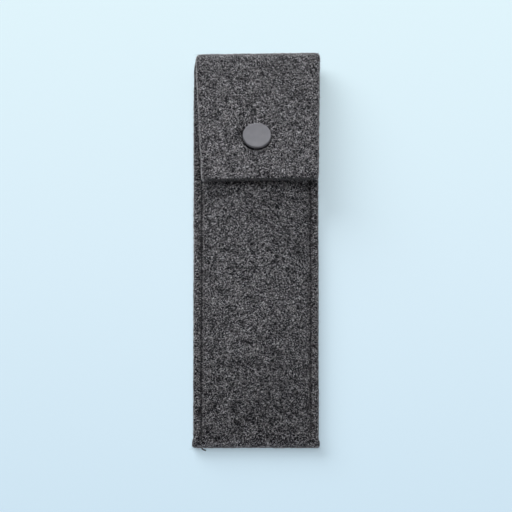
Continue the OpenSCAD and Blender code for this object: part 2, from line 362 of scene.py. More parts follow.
def turned_so_far(length):
    """The angle through which the strip has been folded, up to a length along it."""
    bottom = np.clip((length - FRONT_LEN) / BOTTOM_LEN, 0, 1) * math.pi
    top = np.clip((length - FLAP_FROM) / (2 * HALF_FOLD_LEN) + 1, 0, 1) * 2 * HALF_FOLD
    return bottom + top


def fold_nip(cloth):
    """How much narrower the stretched outside of the top fold is, on each side."""
    round_fold = (cloth[:, 1] - FLAP_FROM) / FOLD_R + math.radians(FOLD_ANGLE)
    nip = FOLD_NIP * np.exp(-(((round_fold - FOLD_NIP_AT) / FOLD_NIP_WIDE) ** 2))
    return nip * (1 - cloth[:, 2] / FELT_T)


def add_object(name, mesh, material):
    obj = bpy.data.objects.new(name, mesh)
    bpy.context.scene.collection.objects.link(obj)
    obj.data.materials.append(material)
    return obj


def shade_smooth(mesh):
    mesh.polygons.foreach_set("use_smooth", [True] * len(mesh.polygons))
    mesh.update()


def strip_grid(rows, ring):
    """Places and cloth places (across, along, depth) of a strip's points. A row of the strip is
    (length along the strip, station, pinch)."""
    xs, depths = ring
    points, cloth = [], []
    for length, station, pinch in rows:
        outer, inward = station(xs)
        depth = pinch + depths * (FELT_T - 2 * pinch) / FELT_T
        points.append(outer + inward * depth[:, None])
        cloth.append(np.stack([xs, np.full_like(xs, length), depth], axis=-1))
    return np.array(points), np.array(cloth)


def felt_surface(flat, normals, cloth, dent):
    """Moves a strip's points as real felt has them: lumpy, rough at the edges and dented."""
    lumps = LUMP_H * layered_noise(cloth, LUMP_SIZE, LUMP_SEED, 2)
    lumps = lumps + GRAIN_H * layered_noise(cloth, GRAIN_SIZE, GRAIN_SEED, 3)
    at_edge = np.abs(cloth[:, 0]) > HALF_W - AT_EDGE
    rough_edge = ROUGH_EDGE_H * layered_noise(cloth, ROUGH_EDGE_SIZE, ROUGH_EDGE_SEED, 2) * at_edge
    from_side = np.abs(HALF_W - np.abs(cloth[:, 0]))
    droop = DROOP * np.exp(-((from_side / DROOP_WIDE) ** 2)) * (cloth[:, 2] < DROOP_DEEP)
    push = lumps + rough_edge - droop - dent(flat, cloth)
    moved = flat + normals * push[:, None]
    moved[:, 2] = np.maximum(moved[:, 2], LOWEST_FELT)
    on_flap = smooth((cloth[:, 1] - FLAP_FROM + FLAP_FADE / 2) / FLAP_FADE)
    narrower = FUZZ + (FLAP_FUZZ - FUZZ) * on_flap + fold_nip(cloth)
    moved[:, 0] -= narrower * np.clip(cloth[:, 0] / HALF_W, -1, 1) + FLAP_LEFT * on_flap
    return moved


def strip_mesh(name, flat, index):
    """A closed mesh through rows of rings."""
    a, b = index[:-1], np.roll(index, -1, axis=1)[:-1]
    c, d = np.roll(index, -1, axis=1)[1:], index[1:]
    quads = np.stack([a, b, c, d], axis=-1).reshape(-1, 4).tolist()
    mesh = bpy.data.meshes.new(name)
    mesh.from_pydata((flat * MM).tolist(), [], quads)
    bm = bmesh.new()
    bm.from_mesh(mesh)
    bm.verts.ensure_lookup_table()
    for row in (0, len(index) - 1):
        close_end(bm, index[row])
    bmesh.ops.recalc_face_normals(bm, faces=bm.faces)
    bm.to_mesh(mesh)
    bm.free()
    return mesh


def add_felt_attributes(mesh, cloth, edge_highlight):
    """Gives each point its place in the unrolled felt, and a painted highlight along the cut edges and
    painted shade on the flap's end face.
    """
    unstretched = cloth.copy()
    unstretched[:, 1] += (FELT_T / 2 - cloth[:, 2]) * turned_so_far(cloth[:, 1])
    co = mesh.attributes.new("felt_place", "FLOAT_VECTOR", "POINT")
    co.data.foreach_set("vector", unstretched.astype(np.float32).ravel())
    edge = mesh.attributes.new("edge_light_and_end_shade", "FLOAT", "POINT")
    from_side = np.abs(HALF_W - np.abs(cloth[:, 0]))
    # Painted highlight along the cut edges, less painted shade on the flap's end face
    shade_at_end = cloth[:, 1] > STRIP_LEN - AT_EDGE
    painted_light = edge_highlight * np.exp(-((from_side / EDGE_HIGHLIGHT_WIDE) ** 2)) - FLAP_END_SHADE * shade_at_end
    edge.data.foreach_set("value", painted_light.astype(np.float32))


def build_strip(name, rows, ring, dent, edge_highlight=1.0):
    """A closed felt solid through rows of stations, with its points, normals and cloth places.
    dent gives the depth of grooves and dimples from (place, cloth place)."""
    points, cloth = strip_grid(rows, ring)
    normals = grid_normals(points)
    flat_cloth = cloth.reshape(-1, 3)
    flat = felt_surface(points.reshape(-1, 3), normals.reshape(-1, 3), flat_cloth, dent)
    index = np.arange(len(flat)).reshape(points.shape[:2])
    mesh = strip_mesh(name, flat, index)
    add_felt_attributes(mesh, flat_cloth, edge_highlight)
    shade_smooth(mesh)
    return add_object(name, mesh, FELT), flat.reshape(points.shape), normals, cloth


def close_end(bm, ring):
    """Fills the end of a strip with one face, whose rim stays sharp."""
    verts = [bm.verts[i] for i in ring]
    face = bm.faces.new(verts)
    made = bmesh.ops.triangulate(bm, faces=[face], ngon_method="EAR_CLIP")
    for f in made["faces"]:
        f.smooth = True
    for v, w in zip(verts, verts[1:] + verts[:1]):
        edge = bm.edges.get((v, w))
        if edge:
            edge.smooth = False


# Where the snap sits, and how much narrower the flap is there
SNAP_ALONG = SNAP_FROM_FOLD + FOLD_R * math.sin(math.radians(FOLD_ANGLE))
SNAP_Y, SNAP_Z, SNAP_SLOPE = flap_line(SNAP_ALONG)
SNAP_CENTRE = from_fold_frame(np.array([SNAP_SIDE]), np.array([SNAP_Y]), np.array([SNAP_Z]))[0]
FLAP_NARROWING = (FOLD_HALF_W + (FLAP_END_HALF_W - FOLD_HALF_W) * SNAP_ALONG / FLAP_LEN) / HALF_W
STUD_CENTRE = (stud_lo + stud_hi) / 2

# Lengths along the strip, from the mouth to the end of the top fold
FRONT_LEN = MOUTH_Y - BOTTOM_Y
BOTTOM_LEN = math.pi * (BOTTOM_R - FELT_T / 2)
BACK_LEN = TOP_Y - BOTTOM_Y
HALF_FOLD = math.radians(FOLD_ANGLE) / 2
HALF_FOLD_LEN = FOLD_R * HALF_FOLD
FOLD_FROM = FRONT_LEN + BOTTOM_LEN + BACK_LEN
FLAP_FROM = FOLD_FROM + 2 * HALF_FOLD_LEN
STRIP_LEN = FLAP_FROM + FLAP_LEN

# The dents over the stud, under the snap cap and round its rim, in the upper part of the felt
DENT_REACH_POCKET, DENT_REACH_FLAP = 1.2, 1.0
STUD_DENT, STUD_DENT_R, STUD_DENT_FADE = 0.62, 4.9, 1.6
CAP_DENT, CAP_DENT_FADE = 0.34, 1.3
RIM_DENT, RIM_DENT_OUT, RIM_DENT_WIDE = 0.60, 0.15, 0.50


def from_snap(cloth):
    """Distance along the flap from the middle of the snap cap."""
    return np.hypot(cloth[..., 0] * FLAP_NARROWING - SNAP_SIDE, cloth[..., 1] - (FLAP_FROM + SNAP_ALONG))


def pocket_dent(place, cloth):
    """How deep the seams and the stud draw the pocket's felt in."""
    outer = 1 - smooth(cloth[:, 2] / DENT_REACH_POCKET)
    seams = seam_groove(cloth[:, 0], place[:, 1], outer)
    off = np.hypot(place[:, 0] - STUD_CENTRE[0], place[:, 1] - STUD_CENTRE[1])
    on_front = outer * (cloth[:, 1] < FRONT_LEN)
    stud = on_front * STUD_DENT * (1 - smooth((off - STUD_DENT_R) / STUD_DENT_FADE))
    return seams + stud


def flap_dent(_, cloth):
    """How deep the snap cap presses the flap's felt down."""
    outer = 1 - smooth(cloth[:, 2] / DENT_REACH_FLAP)
    off = from_snap(cloth)
    rim = RIM_DENT * np.exp(-(((off - CAP_D / 2 - RIM_DENT_OUT) / RIM_DENT_WIDE) ** 2))
    return outer * (CAP_DENT * (1 - smooth((off - CAP_D / 2) / CAP_DENT_FADE)) + rim)


ROWS_IN_A_BEND = 14


def pocket_rows(step, back_step):
    """Rows from the mouth down the front, round the bottom, up the back and halfway round the fold."""
    rows = [(e, front_station(MOUTH_Y - e), pinch) for e, pinch in rounded_end()]
    count = int((FRONT_LEN - EDGE_R) / step)
    for i in range(1, count + 1):
        e = EDGE_R + (FRONT_LEN - EDGE_R) * i / count
        rows.append((e, front_station(MOUTH_Y - e), 0.0))
    for i in range(1, ROWS_IN_A_BEND + 1):
        angle = math.pi / 2 - math.pi * i / ROWS_IN_A_BEND
        rows.append((FRONT_LEN + BOTTOM_LEN * i / ROWS_IN_A_BEND, bottom_station(angle), 0.0))
    count = int(BACK_LEN / back_step)
    for i in range(1, count + 1):
        station = back_station(BOTTOM_Y + BACK_LEN * i / count)
        rows.append((FRONT_LEN + BOTTOM_LEN + BACK_LEN * i / count, station, 0.0))
    for i in range(1, ROWS_IN_A_BEND + 1):
        station = fold_station(HALF_FOLD * i / ROWS_IN_A_BEND)
        rows.append((FOLD_FROM + HALF_FOLD_LEN * i / ROWS_IN_A_BEND, station, 0.0))
    return rows


def flap_rows(step):
    """Rows from halfway round the fold to the end of the flap."""
    rows = []
    count = int(HALF_FOLD_LEN / step)
    for i in range(count + 1):
        part = i / count
        rows.append((FLAP_FROM - HALF_FOLD_LEN * (1 - part), fold_station(HALF_FOLD * (1 + part)), 0.0))
    count = int((FLAP_LEN - EDGE_R) / step)
    for i in range(1, count):
        along = (FLAP_LEN - EDGE_R) * i / count
        rows.append((FLAP_FROM + along, flap_station(along), 0.0))
    for e, pinch in reversed(rounded_end()):
        rows.append((STRIP_LEN - e, flap_station(FLAP_LEN - e), pinch))
    return rows


# Materials
def new_material(name):
    material = bpy.data.materials.new(name)
    material.use_nodes = True
    tree = material.node_tree
    tree.nodes.clear()
    out = tree.nodes.new("ShaderNodeOutputMaterial")
    shader = tree.nodes.new("ShaderNodeBsdfPrincipled")
    tree.links.new(shader.outputs[0], out.inputs["Surface"])
    return material, tree, shader


def node(tree, kind, **values):
    made = tree.nodes.new(kind)
    for key, value in values.items():
        setattr(made, key, value)
    return made


def math_node(tree, operation, first, second=None, third=None):
    made = node(tree, "ShaderNodeMath", operation=operation)
    for socket, value in zip(made.inputs, (first, second, third)):
        if value is None:
            continue
        if isinstance(value, (int, float)):
            socket.default_value = value
        else:
            tree.links.new(value, socket)
    return made.outputs[0]


def noise_node(tree, vector, scale, detail=2.0, rough=0.5, distortion=0.0):
    made = node(tree, "ShaderNodeTexNoise")
    made.inputs["Scale"].default_value = scale
    made.inputs["Detail"].default_value = detail
    made.inputs["Roughness"].default_value = rough
    made.inputs["Distortion"].default_value = distortion
    tree.links.new(vector, made.inputs["Vector"])
    return made


def ramp_node(tree, value, stops):
    made = node(tree, "ShaderNodeValToRGB")
    tree.links.new(value, made.inputs["Fac"])
    elements = made.color_ramp.elements
    while len(elements) < len(stops):
        elements.new(0.5)
    for element, (at, colour) in zip(elements, stops):
        element.position = at
        element.color = (*colour, 1.0)
    return made.outputs["Color"]


# The felt's marl: fibres and finer hairs, each a layer of streaks in several directions, and two
# plain layers, by weight. Sizes are in millimetres, and scales are per millimetre.
FIBRE_DIRECTIONS, FIBRE_LONG, FIBRE_WIDE, FIBRE_TURN = 6, 1.0, 0.18, 0.2
HAIR_DIRECTIONS, HAIR_LONG, HAIR_WIDE, HAIR_TURN = 4, 1.1, 0.08, 0.5
HAIR_WEIGHT = 0.60
FINE_SCALE, FINE_WEIGHT = 2.4, 0.65
BLOTCH_SCALE, BLOTCH_WEIGHT = 0.22, 0.16
BEND_SCALE, FIBRE_BEND = 0.55, 1.0

# The middle of the layers' sum becomes the felt's tone on the colour ramp, where 0 is dark and 1 pale
MEAN_OF_LAYERS = 1.0 + HAIR_WEIGHT + 0.5 * (FINE_WEIGHT + BLOTCH_WEIGHT)
FIBRE_CONTRAST = 4.2
FELT_TONE = 0.164
# Painted highlight along the cut edges
CUT_EDGE_HIGHLIGHT = 0.16
# Painted shade in a ring round the snap cap, under its rim and a little way out
PAINTED_RING_SHADE = 0.40
RING_SHADE_OUT, RING_SHADE_OUT_END = 0.25, 0.80


def crossing_streaks(tree, vector, directions, long, wide, turn):
    """The highest and the lowest of several layers of streaks, each in a direction of its own."""
    highest = lowest = None
    for k in range(directions):
        mapping = node(tree, "ShaderNodeMapping", vector_type="TEXTURE")
        tree.links.new(vector, mapping.inputs["Vector"])
        mapping.inputs["Location"].default_value = (13.7 * k, 5.1 * k, 3.3 * k)
        mapping.inputs["Rotation"].default_value = (0, 0, math.pi * k / directions + turn)
        mapping.inputs["Scale"].default_value = (long, wide, wide)
        layer = noise_node(tree, mapping.outputs[0], 1.0, 1.0, 0.4).outputs["Fac"]
        highest = layer if highest is None else math_node(tree, "MAXIMUM", highest, layer)
        lowest = layer if lowest is None else math_node(tree, "MINIMUM", lowest, layer)
    return highest, lowest


def painted_shade_round_snap(tree, vector):
    """Painted shade round the snap cap: one under the cap and just past its rim, falling to nothing a
    little way out.
    """
    squeezed = node(tree, "ShaderNodeVectorMath", operation="MULTIPLY")
    tree.links.new(vector, squeezed.inputs[0])
    squeezed.inputs[1].default_value = (FLAP_NARROWING, 1, 1)
    off = node(tree, "ShaderNodeVectorMath", operation="DISTANCE")
    tree.links.new(squeezed.outputs[0], off.inputs[0])
    longer_outside = FELT_T / 2 * (math.pi + 2 * HALF_FOLD)
    off.inputs[1].default_value = (SNAP_SIDE, FLAP_FROM + SNAP_ALONG + longer_outside, 0)
    fall = node(tree, "ShaderNodeMapRange", interpolation_type="SMOOTHSTEP")
    tree.links.new(off.outputs["Value"], fall.inputs["Value"])
    fall.inputs["From Min"].default_value = CAP_D / 2 + RING_SHADE_OUT
    fall.inputs["From Max"].default_value = CAP_D / 2 + RING_SHADE_OUT_END
    fall.inputs["To Min"].default_value = 1
    fall.inputs["To Max"].default_value = 0
    return fall.outputs["Result"]


def bent_place(tree, vector):
    """The place in the felt, pushed about a little, so that the fibres in it bend."""
    bend = noise_node(tree, vector, BEND_SCALE, 1.0)
    centred = node(tree, "ShaderNodeVectorMath", operation="SUBTRACT")
    tree.links.new(bend.outputs["Color"], centred.inputs[0])
    centred.inputs[1].default_value = (0.5, 0.5, 0.5)
    spread = node(tree, "ShaderNodeVectorMath", operation="MULTIPLY_ADD")
    tree.links.new(centred.outputs[0], spread.inputs[0])
    spread.inputs[1].default_value = (FIBRE_BEND, FIBRE_BEND, 0.3 * FIBRE_BEND)
    tree.links.new(vector, spread.inputs[2])
    return spread.outputs[0]


def marl_tone(tree, vector):
    """The felt's tone from its layers of fibres."""
    bent = bent_place(tree, vector)
    highest, lowest = crossing_streaks(tree, bent, FIBRE_DIRECTIONS, FIBRE_LONG, FIBRE_WIDE, FIBRE_TURN)
    tone = math_node(tree, "ADD", highest, lowest)
    highest, lowest = crossing_streaks(tree, bent, HAIR_DIRECTIONS, HAIR_LONG, HAIR_WIDE, HAIR_TURN)
    hair = math_node(tree, "ADD", highest, lowest)
    tone = math_node(tree, "MULTIPLY_ADD", hair, HAIR_WEIGHT, tone)
    fine = noise_node(tree, vector, FINE_SCALE, 1.0).outputs["Fac"]
    tone = math_node(tree, "MULTIPLY_ADD", fine, FINE_WEIGHT, tone)
    blotch = noise_node(tree, vector, BLOTCH_SCALE, 2.0).outputs["Fac"]
    tone = math_node(tree, "MULTIPLY_ADD", blotch, BLOTCH_WEIGHT, tone)
    lift = FELT_TONE - MEAN_OF_LAYERS * FIBRE_CONTRAST
    return math_node(tree, "MULTIPLY_ADD", tone, FIBRE_CONTRAST, lift)


def add_bump(tree, shader, height, strength, distance):
    bump = node(tree, "ShaderNodeBump")
    bump.inputs["Strength"].default_value = strength
    bump.inputs["Distance"].default_value = distance * MM
    tree.links.new(height, bump.inputs["Height"])
    tree.links.new(bump.outputs["Normal"], shader.inputs["Normal"])


def felt_material():
    """Dark grey marl: short light and dark wool fibres that lie in every direction in the cloth."""
    material, tree, shader = new_material("felt")
    vector = node(tree, "ShaderNodeAttribute", attribute_name="felt_place").outputs["Vector"]
    tone = marl_tone(tree, vector)
    # Painted highlight along the cut edges and painted shade on the flap's end face, from the mesh
    # attribute
    edge = node(tree, "ShaderNodeAttribute", attribute_name="edge_light_and_end_shade").outputs["Fac"]
    tone = math_node(tree, "MULTIPLY_ADD", edge, CUT_EDGE_HIGHLIGHT, tone)
    # Painted shade round the snap cap
    tone = math_node(tree, "MULTIPLY_ADD", painted_shade_round_snap(tree, vector), -PAINTED_RING_SHADE, tone)
    colour = ramp_node(
        tree,
        tone,
        [
            (0.05, (0.006, 0.006, 0.008)),
            (0.33, (0.017, 0.016, 0.020)),
            (0.50, (0.029, 0.028, 0.033)),
            (0.64, (0.062, 0.060, 0.070)),
            (0.80, (0.310, 0.302, 0.330)),
            (0.98, (0.900, 0.890, 0.930)),
        ],
    )
    tree.links.new(colour, shader.inputs["Base Color"])
    add_bump(tree, shader, tone, 0.4, 0.25)
    shader.inputs["Roughness"].default_value = 0.95
    shader.inputs["Specular IOR Level"].default_value = 0.15
    shader.inputs["Sheen Weight"].default_value = 0.30
    shader.inputs["Sheen Roughness"].default_value = 0.4
    return material


def fibre_material():
    """Single wool fibres, each with a tone of its own."""
    material, tree, shader = new_material("felt_fibre")
    tone = node(tree, "ShaderNodeAttribute", attribute_name="tone")
    colour = ramp_node(
        tree,
        tone.outputs["Fac"],
        [(0.0, (0.03, 0.03, 0.034)), (0.4, (0.13, 0.13, 0.14)), (1.0, (0.88, 0.87, 0.90))],
    )
    tree.links.new(colour, shader.inputs["Base Color"])
    shader.inputs["Roughness"].default_value = 0.8
    shader.inputs["Specular IOR Level"].default_value = 0.2
    return material


def thread_material():
    """Black sewing thread, with a faint sheen and lint."""
    material, tree, shader = new_material("thread")
    place = node(tree, "ShaderNodeTexCoord")
    lint = noise_node(tree, place.outputs["Object"], 5.0 / MM, 2.0).outputs["Fac"]
    colour = ramp_node(
        tree,
        lint,
        [(0.35, (0.010, 0.010, 0.013)), (0.6, (0.024, 0.024, 0.030)), (0.78, (0.07, 0.07, 0.08))],
    )
    tree.links.new(colour, shader.inputs["Base Color"])
    rough = math_node(tree, "MULTIPLY_ADD", lint, 0.3, 0.45)
    tree.links.new(rough, shader.inputs["Roughness"])
    return material


def snap_material():
    """Matte moulded resin, with a fine grain and faint clouding."""
    material, tree, shader = new_material("snap")
    place = node(tree, "ShaderNodeTexCoord")
    grain = noise_node(tree, place.outputs["Object"], 6.0 / MM, 2.0).outputs["Fac"]
    cloud = noise_node(tree, place.outputs["Object"], 0.35 / MM, 2.0).outputs["Fac"]
    mixed = math_node(tree, "MULTIPLY_ADD", grain, 0.35, cloud)
    colour = ramp_node(tree, mixed, [(0.40, (0.197, 0.198, 0.220)), (0.95, (0.244, 0.245, 0.270))])
    tree.links.new(colour, shader.inputs["Base Color"])
    rough = math_node(tree, "MULTIPLY_ADD", grain, 0.2, 0.42)
    tree.links.new(rough, shader.inputs["Roughness"])
    add_bump(tree, shader, grain, 0.14, 0.05)
    return material


FELT = felt_material()
FIBRE = fibre_material()
THREAD = thread_material()
SNAP = snap_material()

# The felt, in two pieces that meet at the middle of the top fold. A section has its step across, its
# step beside the seams and its step on the inner face.
pocket_felt, pocket_points, pocket_normals, pocket_cloth = build_strip(
    "pocket_felt", pocket_rows(step=0.45, back_step=0.9), section(0.45, 0.22, 1.6), pocket_dent
)
# The flap's cut edges get a stronger painted highlight
flap_felt, flap_points, flap_normals, flap_cloth = build_strip(
    "flap_felt", flap_rows(step=0.3), section(0.3, 0.3, 1.4), flap_dent, edge_highlight=2.2
)


# Loose fibres that stand a little proud of the felt, shorter near the cut edges
FIBRE_RINGS, FIBRE_SIDES = 4, 3
FIBRE_SHORTEST, FIBRE_LONGEST, RIM_SHORTER = 0.7, 2.2, 0.4
FIBRE_LIFT, LOOSE_SHARE, LOOSE_LIFTED_MORE = 0.16, 0.12, 2.2
FIBRE_CURL = 0.9
FIBRE_THIN, FIBRE_THICKER, FIBRE_TAPER = 0.022, 0.040, 0.6
FIBRE_ROOT, FIBRE_CLEAR = 0.05, 0.02
RIM_SIDE, RIM_END = 0.8, 1.0
LOWEST_FIBRE = 0.01


def at_rim(cloth):
    """Which points of a strip lie near its cut edges."""
    from_cut_end = np.minimum(cloth[..., 1], STRIP_LEN - cloth[..., 1])
    return ((np.abs(cloth[..., 0]) > HALF_W - RIM_SIDE) | (from_cut_end < RIM_END)).reshape(-1)


def fibre_rings(rng, place, normal, shorter, tone):
    """The rings of one fibre's tube, which lies on the felt, curls and lifts in the middle."""
    way = rng.normal(size=3)
    way -= normal * (way @ normal)
    way /= max(np.linalg.norm(way), 1e-6)
    side = np.cross(normal, way)
    length = rng.uniform(FIBRE_SHORTEST, FIBRE_LONGEST) * (RIM_SHORTER if shorter else 1.0)
    lift = rng.uniform(0.0, FIBRE_LIFT) * (1 if rng.random() > LOOSE_SHARE else LOOSE_LIFTED_MORE)
    curl = rng.normal() * FIBRE_CURL
    radius = FIBRE_THIN + FIBRE_THICKER * tone**2
    root = place - normal * FIBRE_ROOT
    rings = np.zeros((FIBRE_RINGS, FIBRE_SIDES, 3))
    for r in range(FIBRE_RINGS):
        t = r / (FIBRE_RINGS - 1)
        angle = curl * t
        centre = (
            root
            + way * length * t * math.cos(angle * 0.7)
            + side * length * t * math.sin(angle)
            + normal * (4 * lift * t * (1 - 0.62 * t) + FIBRE_CLEAR)
        )
        thin = radius * (1 - FIBRE_TAPER * t)
        for k in range(FIBRE_SIDES):
            a = 2 * math.pi * k / FIBRE_SIDES
            rings[r, k] = centre + thin * (side * math.cos(a) + normal * math.sin(a))
    return rings


def build_fibres(name, count, points, normals, cloth, weights, seed):
    """Fibres at random places of a strip, more of them where the weights are higher."""
    rng = np.random.default_rng(seed)
    flat, flat_n = points.reshape(-1, 3), normals.reshape(-1, 3)
    along = np.linalg.norm(np.gradient(points, axis=0), axis=2)
    around = np.linalg.norm(np.roll(points, -1, axis=1) - np.roll(points, 1, axis=1), axis=2)
    chance = (weights * along * around).reshape(-1)
    chance /= chance.sum()
    picked = rng.choice(len(flat), size=count, p=chance)
    tones = rng.random(count)
    rim = at_rim(cloth)
    verts = np.array(
        [fibre_rings(rng, flat[at], flat_n[at], rim[at], tone) for at, tone in zip(picked, tones)]
    ).reshape(-1, 3)
    verts[:, 2] = np.maximum(verts[:, 2], LOWEST_FIBRE)
    index = np.arange(len(verts)).reshape(count, FIBRE_RINGS, FIBRE_SIDES)
    a, b = index[:, :-1], np.roll(index, -1, axis=2)[:, :-1]
    c, d = np.roll(index, -1, axis=2)[:, 1:], index[:, 1:]
    faces = np.stack([a, b, c, d], axis=-1).reshape(-1, 4).tolist()
    faces += index[:, 0, ::-1].tolist() + index[:, -1].tolist()
    mesh = bpy.data.meshes.new(name)
    mesh.from_pydata((verts * MM).tolist(), [], faces)
    tone = mesh.attributes.new("tone", "FLOAT", "POINT")
    tone.data.foreach_set("value", np.repeat(tones, FIBRE_RINGS * FIBRE_SIDES).astype(np.float32))
    mesh.update()
    obj = add_object(name, mesh, FIBRE)
    return obj


def fibre_weights(cloth, normals):
    """Fibres grow on the outer face and the cut edges, clear of the snap, and most on level felt and
    along the edges."""
    outer = (cloth[..., 2] < FELT_T - 0.3).astype(float)
    edge = np.abs(cloth[..., 0]) > HALF_W - 1.2
    face = 0.15 + np.abs(normals[..., 2])
    return outer * (face + 1.5 * edge) * (from_snap(cloth) > CAP_D / 2 + 1.6)


# Sewing threads. Each lies a little below the felt's face, and dips further at the needle holes.
RINGS_PER_STITCH = 12
THREAD_SINK_FRONT, THREAD_SINK_BACK, THREAD_DIP = 0.30, 0.33, 0.75
DIP_SHARPNESS = 7


def margin_top(y):
    """Height of the front's outer face beside the seams."""
    if y < BOTTOM_Y:
        return BOTTOM_R + math.sqrt(BOTTOM_R**2 - (y - BOTTOM_Y) ** 2)
    return 2 * FELT_T + BOTTOM_GAP * (1 - float(smooth((y - BOTTOM_Y) / MARGIN_TAPER)))


def thread_path(side, front):
    """The middle line of a seam's thread: over each stitch, and down into each needle hole."""
    stitches = round((LAST_HOLE_Y - FIRST_HOLE_Y) / STITCH)
    path = []
    for i in range(stitches * RINGS_PER_STITCH + 1):
        t = i / RINGS_PER_STITCH
        y = FIRST_HOLE_Y + t * STITCH
        dip = abs(2 * (t - math.floor(t)) - 1) ** DIP_SHARPNESS
        if front:
            z = margin_top(y) - THREAD_SINK_FRONT - THREAD_DIP * dip
        else:
            z = THREAD_SINK_BACK + THREAD_DIP * dip
        path.append((side * SEAM_X, y, z))
    return path


def twisted_thread(name, path, strand_r=0.15, twist=1.2, sides=6):
    """Two strands wound round each other along a path, once round in each length of twist."""
    path = np.array(path)
    steps = np.linalg.norm(np.diff(path, axis=0), axis=1)
    run = np.concatenate([[0], np.cumsum(steps)])
    tangent = np.gradient(path, axis=0)
    tangent /= np.maximum(np.linalg.norm(tangent, axis=1, keepdims=True), 1e-9)
    side = np.cross(tangent, np.tile([0.0, 0.0, 1.0], (len(path), 1)))
    side /= np.maximum(np.linalg.norm(side, axis=1, keepdims=True), 1e-9)
    up = np.cross(side, tangent)
    verts, faces = [], []
    for strand in (0, 1):
        start = len(verts)
        for i in range(len(path)):
            turn = 2 * math.pi * run[i] / twist + math.pi * strand
            centre = path[i] + 0.85 * strand_r * (side[i] * math.cos(turn) + up[i] * math.sin(turn))
            for k in range(sides):
                a = 2 * math.pi * k / sides + turn
                verts.append(centre + strand_r * (side[i] * math.cos(a) + up[i] * math.sin(a)))
        for i in range(len(path) - 1):
            for k in range(sides):
                a, b = start + i * sides + k, start + i * sides + (k + 1) % sides
                faces.append((a, b, b + sides, a + sides))
        faces.append(tuple(start + k for k in reversed(range(sides))))
        faces.append(tuple(start + (len(path) - 1) * sides + k for k in range(sides)))
    mesh = bpy.data.meshes.new(name)
    mesh.from_pydata((np.array(verts) * MM).tolist(), [], faces)
    shade_smooth(mesh)
    obj = add_object(name, mesh, THREAD)
    return obj


def tail_path():
    """The loose end of the left bobbin thread, which curls to the right on the ground."""
    straight, bend_r, bend, end = 0.5, 1.25, math.radians(70), 0.9
    beside_seam, above_ground = 0.15, 0.3
    x, y, z = -SEAM_X + beside_seam, FIRST_HOLE_Y, above_ground
    path = [(x, y - straight * i / 3, z) for i in range(4)]
    for i in range(1, 13):
        a = bend * i / 12
        path.append((x + bend_r * (1 - math.cos(a)), y - straight - bend_r * math.sin(a), z))
    last_x, last_y, _ = path[-1]
    for i in range(1, 5):
        path.append((last_x + end * math.sin(bend) * i / 4, last_y - end * math.cos(bend) * i / 4, z))
    return path


for side, word in ((-1, "left"), (1, "right")):
    for front, face in ((True, "front"), (False, "back")):
        piece = twisted_thread(f"{word}_{face}_stitches", thread_path(side, front))
        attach(piece, "pocket")
        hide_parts(f"{word}_seam_{face}_thread")
tail = twisted_thread("left_thread_end", tail_path(), strand_r=0.17, twist=1.0)
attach(tail, "pocket")


def lathe(name, profile, centre, tilt, skew, segments=96):
    """A solid turned from (radius, height) pairs about its own axis, then tilted, skewed and moved."""
    verts, faces = [], []
    for r, z in profile:
        for k in range(segments):
            a = 2 * math.pi * k / segments
            verts.append((r * math.cos(a), r * math.sin(a), z))
    for i in range(len(profile) - 1):
        for k in range(segments):
            a, b = i * segments + k, i * segments + (k + 1) % segments
            faces.append((a, b, b + segments, a + segments))
    faces.append(tuple(reversed(range(segments))))
    faces.append(tuple((len(profile) - 1) * segments + k for k in range(segments)))
    v = np.array(verts)
    ct, st = math.cos(tilt), math.sin(tilt)
    v = np.stack([v[:, 0], v[:, 1] * ct + v[:, 2] * st, -v[:, 1] * st + v[:, 2] * ct], axis=-1)
    cs, ss = math.cos(skew), math.sin(skew)
    v = np.stack([v[:, 0] * cs - v[:, 1] * ss, v[:, 0] * ss + v[:, 1] * cs, v[:, 2]], axis=-1)
    mesh = bpy.data.meshes.new(name)
    mesh.from_pydata(((v + centre) * MM).tolist(), [], faces)
    bm = bmesh.new()
    bm.from_mesh(mesh)
    bmesh.ops.recalc_face_normals(bm, faces=bm.faces)
    bm.to_mesh(mesh)
    bm.free()
    shade_smooth(mesh)
    obj = add_object(name, mesh, SNAP)
    return obj


# Snap cap: its middle sinks into the felt, its rim stands over it by a narrow gap, its face is
# slightly hollow, and its pin ends in a flattened rivet below the felt
CAP_ROUND_R = 0.36
CAP_GAP = 0.06
CAP_SINK = 0.3
CAP_HOLLOW = 0.04
PIN_R, RIVET_R, RIVET_H = 0.8, 1.6, 0.5
PIN_BELOW_FELT = 0.7
AXIS_R = 0.02


def cap_profile():
    """From the pin's rivet up to the middle of the face, as (radius, height above the felt)."""
    r = CAP_D / 2
    under = -FELT_T + CAP_SINK - PIN_BELOW_FELT
    profile = [(AXIS_R, under - RIVET_H), (RIVET_R, under - RIVET_H), (RIVET_R, under)]
    profile += [(PIN_R, under), (PIN_R, -CAP_SINK), (r - 1.3, -CAP_SINK), (r - 1.1, CAP_GAP - 0.1)]
    profile += [(r - 0.3, CAP_GAP), (r - 0.12, CAP_GAP + 0.04), (r - 0.03, CAP_GAP + 0.12)]
    profile += [(r, CAP_GAP + 0.22), (r, CAP_H - CAP_ROUND_R)]
    for a in (15, 30, 45, 60, 75, 90):
        t = math.radians(a)
        out, up = CAP_ROUND_R * math.cos(t), CAP_ROUND_R * math.sin(t)
        profile.append((r - CAP_ROUND_R + out, CAP_H - CAP_ROUND_R + up))
    profile += [(r - 0.75, CAP_H), (r - 0.9, CAP_H - CAP_HOLLOW / 2)]
    profile += [(3.0, CAP_H - 0.035), (AXIS_R, CAP_H - CAP_HOLLOW)]
    return profile


